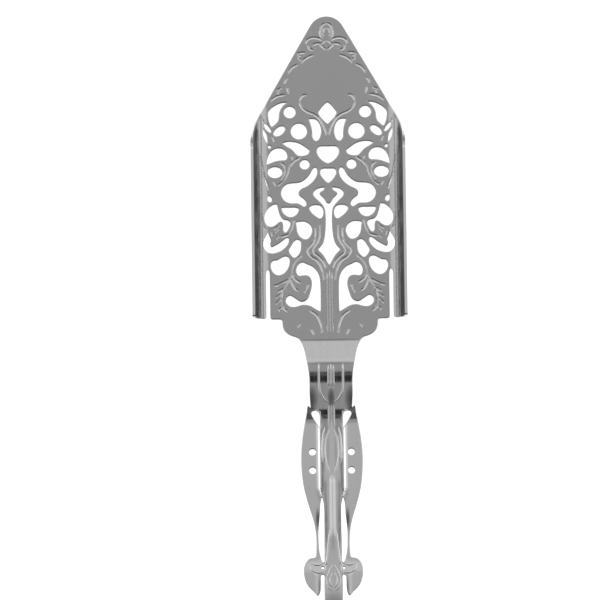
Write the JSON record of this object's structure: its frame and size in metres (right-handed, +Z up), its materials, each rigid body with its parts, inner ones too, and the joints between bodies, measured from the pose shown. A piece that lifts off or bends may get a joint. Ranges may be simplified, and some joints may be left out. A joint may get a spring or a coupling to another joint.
{
  "type": "absinthe spoon",
  "caption": "Slotted absinthe spoon: a pierced foliate blade with upturned sides, pointed tip, humped neck and leaf-shaped openwork handle.",
  "frame": {"origin": "On the centre line at the heel of the blade, in the plane of the flat underside that the spoon rests on.", "axes": "+X across the blade to the right, +Y along the spoon from the handle to the pointed tip, +Z up out of the blade, the way its sides are turned."},
  "size_m": [0.0388, 0.1634, 0.0068],
  "materials": {
    "steel": "polished"
  },
  "bodies": {
    "root": {"spoon": "steel"}
  },
  "joints": []
}
